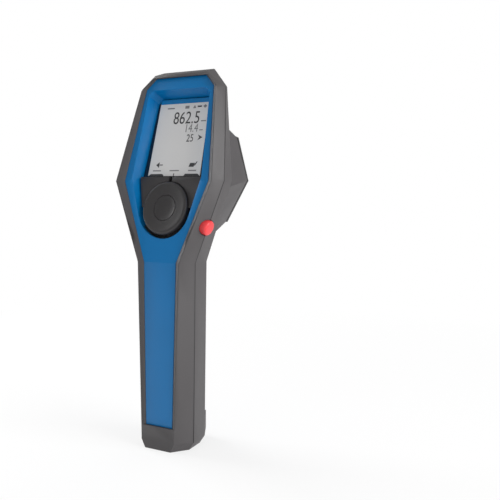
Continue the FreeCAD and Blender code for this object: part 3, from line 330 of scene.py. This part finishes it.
# Screen: a black-edged glass over a pale grey liquid-crystal panel with a blue band along its top.
# The glass lies over the display module. The marks are plain figures, bars and arrows. They and
# the panel stand above the glass by a hair, because the black glass would hide them.
def printed(name, place, outline, height, thickness=0.04):
    """A flat mark with the given outline, in mm, just above the surface that it lies on."""
    net = bmesh.new()
    net.faces.new([net.verts.new((x / 1000, y / 1000, height / 1000)) for x, y in outline])
    piece = from_net(name, net)
    choose(piece)
    bpy.ops.object.mode_set(mode="EDIT")
    bpy.ops.mesh.select_all(action="SELECT")
    bpy.ops.mesh.normals_make_consistent(inside=False)
    bpy.ops.mesh.extrude_region_move(TRANSFORM_OT_translate={"value": (0, 0, thickness / 1000)})
    bpy.ops.mesh.select_all(action="SELECT")
    bpy.ops.mesh.normals_make_consistent(inside=False)
    bpy.ops.object.mode_set(mode="OBJECT")
    settle(piece, place)
    return piece


def bar(x, y, width, height):
    """The outline of an upright bar about its middle."""
    return [(x + across * width / 2, y + along * height / 2)
            for across, along in ((-1, -1), (1, -1), (1, 1), (-1, 1))]


glass_finish = moulded("window_glass", (0.004, 0.004, 0.005), 0.10, grain=300.0, depth=0.000004,
                       handled=0.03, Coat_Weight=0.6, Coat_Roughness=0.04)
window = cad_copy("display_window", "window_glass")
round_edges(window, 0.3, 4.0)
fit(window, glass_finish, stands_for="display_window")

lit = Finish("lit_display", (0.63, 0.625, 0.62), 0.24, Coat_Weight=0.3, Coat_Roughness=0.08)
lit_rows = lit.node("ShaderNodeTexWave", {"bands_direction": "X"},
                    {"Vector": lit.place, "Scale": 1100.0})
lit_shade = lit.blend(lit_rows * 0.5 + lit.noise(22.0) * 0.4,
                      (0.60, 0.595, 0.59, 1.0), (0.66, 0.655, 0.65, 1.0))
lit.give("Base Color", lit_shade)
lit.give("Emission Color", lit_shade)
lit.give("Emission Strength", 0.08)

lit_bottom, band_bottom, band_top = 20.3, 65.6, 68.5
lit_half_low, lit_half_high, band_half_high = 19.1, 18.1, 18.0
panel_height, mark_height, figure_height = 0.01, 0.06, 0.08
display = printed("display_panel", face_turn, [
    (-lit_half_low, lit_bottom), (lit_half_low, lit_bottom),
    (lit_half_high, band_bottom), (-lit_half_high, band_bottom)], panel_height)
fit(display, lit.material)
band = printed("display_band", face_turn, [
    (-lit_half_high, band_bottom), (lit_half_high, band_bottom),
    (band_half_high, band_top), (-band_half_high, band_top)], panel_height)
band_finish = moulded("band_print", (0.0, 0.17, 0.42), 0.26, grain=300.0, depth=0.000004,
                      handled=0.03)
fit(band, band_finish)

ink = Finish("display_ink", (0.045, 0.045, 0.048), 0.35)
faint_ink = Finish("faint_display_ink", (0.20, 0.20, 0.205), 0.35)
for one_ink in (ink, faint_ink):
    one_ink.uneven(0.30, 0.1, 60.0)

figure_width = Matrix.Diagonal((0.82, 1.0, 1.0, 1.0))
for figures_name, figures, size, right, low, figures_ink in (
        ("main_figures", "862.5", 10.8, 12.8, 52.8, ink),
        ("second_figures", "14.4", 7.2, 12.6, 47.4, faint_ink),
        ("third_figures", "25", 6.6, 10.4, 41.4, ink)):
    choose()
    bpy.ops.object.text_add(location=(0, 0, 0))
    number = bpy.context.object
    number.data.body = figures
    number.data.size = size / 1000
    number.data.align_x = "RIGHT"
    number.data.extrude = 0.00002
    bpy.ops.object.convert(target="MESH")
    number = bpy.context.object
    number.name = figures_name
    figures_place = Matrix.Translation(Vector((right, low, figure_height)) / 1000)
    settle(number, face_turn @ figures_place @ figure_width)
    fit(number, figures_ink.material)

for mark_name, mark_outline, mark_ink in (
        ("unit_mark", bar(15.6, 54.0, 3.6, 0.7), faint_ink),
        ("second_unit_mark", bar(14.8, 48.4, 2.4, 0.6), faint_ink),
        ("status_one", bar(-9.8, 62.8, 5.2, 0.8), faint_ink),
        ("status_two", bar(2.2, 63.1, 3.0, 1.8), faint_ink),
        ("status_three", [(6.4, 62.2), (8.8, 62.2), (7.6, 64.2)], faint_ink),
        ("status_four", bar(11.2, 63.2, 3.0, 0.9), ink),
        ("status_five", [(15.2, 62.0), (16.6, 63.2), (15.2, 64.4), (13.8, 63.2)], faint_ink),
        ("level_arrow", [(13.2, 42.0), (16.6, 43.8), (13.2, 45.6), (14.4, 43.8)], ink),
        ("left_mark", [(-14.2, 27.2), (-11.8, 25.4), (-11.8, 29.0)], ink),
        ("left_mark_tail", bar(-10.4, 27.2, 2.4, 0.8), faint_ink),
        ("right_mark", [(10.0, 25.8), (13.6, 25.8), (14.4, 28.2), (10.8, 28.2)], ink),
        ("right_mark_tail", [(13.8, 26.6), (14.6, 26.6), (16.0, 29.0), (15.2, 29.0)], ink),
        ("left_caption", bar(-13.0, 23.6, 6.0, 0.7), faint_ink),
        ("middle_caption", bar(0.0, 23.6, 7.0, 0.7), faint_ink),
        ("right_caption", bar(13.0, 23.6, 5.8, 0.7), faint_ink),
        ("left_tab", [(-19.0, 20.3), (-7.2, 20.3), (-8.4, 21.6), (-17.2, 21.6)], ink),
        ("right_tab", [(7.2, 20.3), (19.0, 20.3), (17.2, 21.6), (8.4, 21.6)], ink),
        ("middle_tick", bar(0.0, 21.1, 0.6, 1.6), ink)):
    fit(printed(mark_name, face_turn, mark_outline, mark_height), mark_ink.material)


# Lamp: the faceted horn on the rear panel, its black bezel and the clear cluster of seven lenses.
# Horn and bezel are moulded. The lenses are one clear moulding, held by six small round screws,
# drawn as opaque cups in painted shade and rims and collars in painted highlight, under a flat
# clear plate.
def faced_back(forward, height, lean=0.0):
    """The place of a surface that faces the rear, in mm, leaning over by the given angle."""
    return (Matrix.Translation((0.0, forward / 1000, height / 1000))
            @ Matrix.Rotation(-lean, 4, "X") @ Matrix.Rotation(math.pi, 4, "Z")
            @ Matrix.Rotation(math.radians(90.0), 4, "X"))


def on_circle(count, radius, first_turn):
    """Places spread evenly round a circle."""
    turns = [math.radians(first_turn) + math.tau * number / count for number in range(count)]
    return [(radius * math.cos(turn), radius * math.sin(turn)) for turn in turns]


def shifted(place, x, y):
    return place @ Matrix.Translation((x / 1000, y / 1000, 0.0))


def take_away(piece, cutter):
    """Cut one shape out of another, and remove the cutter."""
    choose(piece)
    cutting = piece.modifiers.new("cutting", "BOOLEAN")
    cutting.operation = "DIFFERENCE"
    cutting.object = cutter
    bpy.ops.object.modifier_apply(modifier=cutting.name)
    bpy.data.objects.remove(cutter, do_unlink=True)


horn = cad_copy("lamp_housing", "lamp_horn")
round_edges(horn, 0.7, 7.0)
fit(horn, shell_finish, stands_for="lamp_housing")

bezel_finish = moulded("bezel_plastic", (0.018, 0.016, 0.017), 0.40)
bezel = cad_copy("lamp_bezel", "lamp_bezel_ring")
round_edges(bezel, 0.6, 4.0, 30.0)
fit(bezel, bezel_finish, stands_for="lamp_bezel")

lamp_height, plate_front, plate_radius = 161.0, 22.6, 25.2
lens_pitch, cup_radius, tray_top = 16.1, 7.3, -1.2
lamp_turn = faced_back(plate_front, lamp_height)
lens_places = [(0.0, 0.0)] + on_circle(6, lens_pitch, 90.0)

tray = turned("reflector_tray", Matrix(), [
    (plate_radius, tray_top - 1.4), (plate_radius, tray_top), (0.1, tray_top)])
cup_cutters = []
choose()
for x, y in lens_places:
    bpy.ops.mesh.primitive_cylinder_add(vertices=48, radius=cup_radius / 1000, depth=0.01,
                                        location=(x / 1000, y / 1000, 0.0))
    cup_cutters.append(bpy.context.object)
choose(*cup_cutters)
bpy.ops.object.join()
take_away(tray, bpy.context.object)
settle(tray, lamp_turn)
tray_finish = moulded("tray_plastic", (0.13, 0.128, 0.13), 0.26, grain=1500.0, Coat_Weight=0.5,
                      Coat_Roughness=0.06)
fit(tray, tray_finish)

# The dark cups are painted shade of the clear lens moulding.
cup_painted_shade = moulded("cup_inside_painted_shade", (0.026, 0.025, 0.026), 0.14, grain=700.0, depth=0.00004,
                     handled=0.06, Coat_Weight=0.8, Coat_Roughness=0.05)
# The bright rims and collars are painted highlight of the same clear moulding.
rim_painted_highlight = moulded("clear_rim_painted_highlight", (0.50, 0.50, 0.51), 0.12, grain=900.0, handled=0.05,
                     Coat_Weight=0.8, Coat_Roughness=0.05)
diode_finish = moulded("diode_dome", (0.62, 0.55, 0.30), 0.20, grain=900.0, Coat_Weight=1.0,
                       Coat_Roughness=0.03)
collar_foot = -8.0
for number, (x, y) in enumerate(lens_places):
    lens_turn = shifted(lamp_turn, x, y)
    cup = turned(f"lens_cup_{number}", lens_turn, [
        (cup_radius, tray_top), (7.1, -2.0), (6.2, -4.0), (5.2, -6.0), (4.0, -7.8),
        (3.0, -8.4), (3.0, -8.8), (4.3, -8.4), (5.6, -6.2), (6.6, -4.2), (7.5, -2.0),
        (cup_radius, tray_top)], 64, closed=True)
    fit(cup, cup_painted_shade)
    rim = turned(f"lens_rim_{number}", lens_turn, [
        (7.0, tray_top), (7.0, -0.6), (7.3, -0.3), (7.6, -0.6), (7.7, tray_top),
        (7.0, tray_top)], 64, closed=True)
    fit(rim, rim_painted_highlight)
    collar = turned(f"lens_collar_{number}", lens_turn, [
        (3.0, collar_foot), (2.9, -6.0), (3.2, -5.4), (3.6, -6.0), (3.7, collar_foot),
        (3.0, collar_foot)], 48, closed=True)
    fit(collar, rim_painted_highlight)
    dome = turned(f"diode_dome_{number}", lens_turn, [
        (1.7, -8.7), (1.7, collar_foot), (1.5, -7.4), (1.0, -7.0), (0.2, -6.8)], 32)
    fit(dome, diode_finish)

clear = Finish("clear_plate", (0.55, 0.56, 0.57), 0.04, Alpha=0.10, IOR=1.49)
clear.uneven(0.03, 0.05, 40.0)
clear.material.surface_render_method = "BLENDED"
plate = turned("clear_plate", lamp_turn, [
    (plate_radius - 0.3, -0.4), (plate_radius, -0.2), (plate_radius - 0.2, 0.0), (0.1, 0.0)])
fit(plate, clear.material, stands_for="lens_array")

eyelet_finish = moulded("eyelet_metal", (0.66, 0.65, 0.63), 0.28, grain=1200.0, Metallic=0.8)
eyelet_circle, eyelet_foot, eyelet_top = 21.4, 0.1, 0.7
for number, (x, y) in enumerate(on_circle(6, eyelet_circle, 0.0)):
    eyelet = turned(f"eyelet_{number}", shifted(lamp_turn, x, y), [
        (0.5, eyelet_foot), (0.5, 0.5), (0.7, eyelet_top), (1.1, eyelet_top), (1.4, 0.4),
        (1.4, eyelet_foot), (0.5, eyelet_foot)], 32, closed=True)
    fit(eyelet, eyelet_finish)
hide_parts("lens_screws")


# Trigger button and socket: both sit in split bores on the seam, and the halves hold them.
# The button is a red rubber cap with a dark gap round it.
# The socket is a black insert with one thin pin.
side_tilt = math.atan2(39.0 - 20.4, 158.5 - 111.0)
side_x, side_y, side_z = 28.467, -13.589, 131.6
side_turns = []
for side in (1, -1):
    side_place = Vector((side * side_x, side_y, side_z)) / 1000
    side_turns.append(Matrix.Translation(side_place)
                      @ Matrix.Rotation(side * (math.pi / 2 + side_tilt), 4, "Y"))
right_turn, left_turn = side_turns

trigger_radius, trigger_foot, trigger_top = 4.5, -4.4, 1.5
trigger = turned("trigger_cap", right_turn, [
    (trigger_radius - 0.2, trigger_foot), (trigger_radius, trigger_foot + 0.4),
    (trigger_radius, -0.2), (4.4, 0.6), (4.1, 1.1), (3.6, trigger_top - 0.1),
    (2.8, trigger_top), (0.4, trigger_top)], 64)
trigger_finish = moulded("red_rubber", (0.66, 0.040, 0.045), 0.42, grain=2200.0, handled=0.08)
fit(trigger, trigger_finish, "trigger", "trigger_button")

socket_face, socket_floor = -3.2, -6.4
socket = turned("socket_insert", left_turn, [
    (4.8, -7.4), (4.9, socket_face), (4.4, socket_face), (2.4, socket_face),
    (2.1, socket_face - 0.3), (1.9, socket_floor), (0.4, socket_floor)], 64)
fit(socket, carrier_finish, stands_for="side_socket")
pin = turned("socket_pin", left_turn, [
    (0.5, socket_floor), (0.5, -4.0), (0.4, -3.7), (0.1, -3.6)], 24)
fit(pin, eyelet_finish)


# Door fittings: the slotted fastener near the bottom and a rating plate above it.
# The fastener is plated steel, turned and slotted, and stands in a well of the door whose black
# lining is painted shade.
# The plate is a pale glued film, which carries plain ruled lines and no words.
steel = Finish("plated_steel", (0.58, 0.56, 0.53), 0.30, Metallic=0.85)
steel.uneven(0.22, 0.2, 700.0, 4.0)
steel.bump(steel.noise(1400.0), 0.25, 0.00002)
head_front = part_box("battery_door_screw")[1][1] * 1000
fastener_height, head_radius, head_depth, shank_radius = 21.4, 3.0, 1.7, 1.4
fastener_turn = faced_back(head_front, fastener_height)
fastener = turned("door_fastener", Matrix(), [
    (shank_radius, -6.0), (shank_radius, -head_depth), (head_radius - 0.2, -head_depth),
    (head_radius, 0.2 - head_depth), (head_radius, -0.3), (head_radius - 0.2, 0.0),
    (0.1, 0.0)], 64)
choose()
bpy.ops.mesh.primitive_cube_add(size=0.001, location=(0, 0, 0))
slot_cutter = bpy.context.object
slot_width, slot_length, slot_height = 0.9, 8.0, 1.8
slot_cutter.data.transform(Matrix.Rotation(math.radians(-38.0), 4, "Z")
                           @ Matrix.Diagonal((slot_width, slot_length, slot_height, 1.0)))
take_away(fastener, slot_cutter)
settle(fastener, fastener_turn)
fit(fastener, steel.material, "door_screw", "battery_door_screw")

# The black lining of the well is painted shade of the recess round the fastener head.
well_radius, well_foot, well_top = 3.6, -1.8, 0.3
well_shade_lining = turned("fastener_well_shade", fastener_turn, [
    (well_radius, well_foot), (well_radius, well_top), (well_radius - 0.1, well_top),
    (3.4, -1.5), (3.1, -1.7), (3.1, well_foot), (well_radius, well_foot)], 64, closed=True)
fit(well_shade_lining, carrier_finish, "door")

door_slope = math.atan2(9.14 - 8.94, 111.0 - 5.2)
label_turn = faced_back(8.96, 15.5, door_slope)
label_half, label_low, label_high, label_corner = 5.4, 12.5, 86.8, 0.6
label_outline = []
for corner_x, corner_y, first_turn in (
        (-label_half, label_low, 180), (label_half, label_low, 270),
        (label_half, label_high, 0), (-label_half, label_high, 90)):
    for step in range(5):
        turn = math.radians(first_turn + 22.5 * step)
        label_outline.append((corner_x + label_corner * math.cos(turn),
                              corner_y + label_corner * math.sin(turn)))
label_finish = moulded("label_film", (0.72, 0.78, 0.83), 0.34, grain=500.0, depth=0.000008,
                       handled=0.06)
label = printed("rating_plate", label_turn, label_outline, 0.03, 0.08)
fit(label, label_finish, "door")
label_ink = Finish("label_ink", (0.12, 0.125, 0.13), 0.45)
label_ink.uneven(0.38, 0.12, 80.0)
for number, (x, y, run, thick) in enumerate((
        (-3.6, 18.0, 14.0, 0.5), (-1.2, 18.0, 14.0, 0.4), (1.2, 18.0, 12.0, 0.4),
        (3.6, 18.0, 10.0, 0.4), (-3.6, 43.0, 24.0, 0.5), (-1.2, 41.0, 20.0, 0.4),
        (1.2, 41.0, 20.0, 0.4), (3.6, 40.0, 12.0, 0.4), (-2.6, 72.0, 26.0, 1.0),
        (1.8, 76.0, 14.0, 1.0))):
    ruled = printed(f"ruled_line_{number}", label_turn, bar(x, y, thick, run), 0.12, 0.03)
    fit(ruled, label_ink.material, "door")


# Yellow patch: a plain foil panel glued to the rear panel above the lamp.
# It is left blank, and its lower edge is cut to an arch round the horn.
patch_lean = math.atan2(12.3 - 1.16, 213.8 - 158.5)
patch_turn = faced_back(9.52, 200.0, patch_lean)
patch_low, patch_high, patch_arch = -2.6, 6.8, 2.0
patch_half_low, patch_half_high, arch_steps = 19.6, 15.2, 12
patch_outline = []
for step in range(arch_steps + 1):
    share = 2.0 * step / arch_steps - 1.0
    patch_outline.append((patch_half_low * share, patch_low + patch_arch * (1.0 - share * share)))
patch_outline += [(patch_half_high, patch_high), (-patch_half_high, patch_high)]
foil = moulded("yellow_foil", (0.72, 0.70, 0.020), 0.32, grain=400.0, depth=0.000008,
               handled=0.06)
fit(printed("blank_patch", patch_turn, patch_outline, 0.04, 0.08), foil)


# Inside: boards, pack, contacts and fasteners, which show only where the case is opened.
# They stay as the CAD has them, each in the finish of what it is made of.
cast = Finish("cast_aluminium", (0.60, 0.60, 0.61), 0.42, Metallic=0.9)
cast.uneven(0.34, 0.2, 500.0)
cast.bump(cast.noise(900.0), 0.4, 0.00004)
brass = Finish("turned_brass", (0.62, 0.42, 0.16), 0.26, Metallic=1.0)
brass.uneven(0.18, 0.18, 600.0)
resist = moulded("solder_resist", (0.012, 0.105, 0.040), 0.32, grain=500.0)
coating = moulded("white_coating", (0.72, 0.72, 0.71), 0.34)
bush_plastic = moulded("bearing_plastic", (0.68, 0.67, 0.63), 0.32)
sleeve = moulded("shrink_sleeve", (0.020, 0.045, 0.22), 0.24, grain=260.0, depth=0.00003)
can_sleeve = moulded("can_sleeve", (0.025, 0.025, 0.030), 0.28)
diode_resin = moulded("diode_resin", (0.75, 0.60, 0.12), 0.40)
inner_black = moulded("inner_black", (0.012, 0.012, 0.013), 0.45)
for inner_node, inner_finish in (
        ("display_module", coating), ("control_board", resist), ("main_board", resist),
        ("led_board", coating), ("key_switches", inner_black), ("wheel_bearing", bush_plastic),
        ("leds", diode_resin), ("heat_sink", cast.material), ("trigger_switch", inner_black),
        ("battery_pack", sleeve), ("battery_contacts", inner_black),
        ("flash_capacitors", can_sleeve), ("case_screws", steel.material),
        ("tripod_bush", brass.material)):
    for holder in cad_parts[inner_node].material_slots:
        holder.material = inner_finish


# Studio: a plain pale floor, a white room and soft boxes left and right of the instrument.
# The boxes stand well to the sides, because the side facets are the brightest in both views.
# To the camera the floor fades to white away from the instrument, and keeps its shadow near it.
choose()
bpy.ops.mesh.primitive_circle_add(vertices=96, radius=6.0, fill_type="NGON", location=(0, 0, 0))
floor = bpy.context.object
floor.name = "studio_floor"
pale = Finish("studio_floor", (0.82, 0.82, 0.82), 0.9)
camera_sees = pale.node("ShaderNodeLightPath", out="Is Camera Ray")
shine_sees = pale.node("ShaderNodeLightPath", out="Is Glossy Ray")
reach = pale.node("ShaderNodeVectorMath", {"operation": "LENGTH"}, {0: pale.place}, out="Value")
fade = pale.node("ShaderNodeMapRange", None, {
    "Value": reach, "From Min": 0.10, "From Max": 0.55, "To Min": 0.74, "To Max": 1.0})
white = (1.0, 1.0, 1.0, 1.0)
glow = pale.node("ShaderNodeEmission", None, {"Color": white, "Strength": 1.0})
seen = pale.node("ShaderNodeMixShader", None, {
    0: (camera_sees + shine_sees) * fade, 1: Signal(pale, pale.surface.outputs[0]), 2: glow})
pale.feed(pale.tree.nodes["Material Output"].inputs["Surface"], seen)
floor.data.materials.append(pale.material)

room = bpy.data.worlds.new("white_room")
bpy.context.scene.world = room
room.use_nodes = True
fill = room.node_tree.nodes["Background"]
fill.inputs["Color"].default_value = white
fill.inputs["Strength"].default_value = 0.34
backdrop = room.node_tree.nodes.new("ShaderNodeBackground")
backdrop.inputs["Color"].default_value = white
ray = room.node_tree.nodes.new("ShaderNodeLightPath")
choice = room.node_tree.nodes.new("ShaderNodeMixShader")
for source, target in (
        (ray.outputs["Is Camera Ray"], choice.inputs[0]), (fill.outputs[0], choice.inputs[1]),
        (backdrop.outputs[0], choice.inputs[2]),
        (choice.outputs[0], room.node_tree.nodes["World Output"].inputs["Surface"])):
    room.node_tree.links.new(source, target)

aim = Vector((0.0, 0.0, 0.12))
for box_name, stand, power, width in (
        ("right_box", (1.1, -0.05, 0.50), 13.5, 0.8), ("left_box", (-1.1, 0.10, 0.50), 15.0, 0.8),
        ("front_box", (0.10, -1.5, 0.9), 2.6, 1.2), ("back_box", (-0.1, 1.5, 0.9), 2.6, 1.2),
        ("top_box", (0.0, 0.0, 1.6), 3.0, 1.4)):
    choose()
    bpy.ops.object.light_add(type="AREA", location=stand)
    soft_box = bpy.context.object
    soft_box.name = box_name
    soft_box.data.energy = power
    soft_box.data.size = width
    soft_box.rotation_euler = (aim - Vector(stand)).to_track_quat("-Z", "Y").to_euler()

choose()
bpy.ops.object.camera_add(location=(0.2832, -0.3841, 0.1534))
camera = bpy.context.object
camera.data.lens = 56.65
camera.data.sensor_width = 36.0
camera.data.clip_start = 0.01
rightward = Vector((0.8531, 0.5218, 0.0027)).normalized()
backward = Vector((0.5201, -0.8507, 0.0762)).normalized()
upward = backward.cross(rightward).normalized()
rightward = upward.cross(backward)
camera.matrix_world = (Matrix.Translation(camera.location)
                       @ Matrix((rightward, upward, backward)).transposed().to_4x4())
bpy.context.scene.camera = camera
bpy.context.scene.view_settings.view_transform = "Standard"
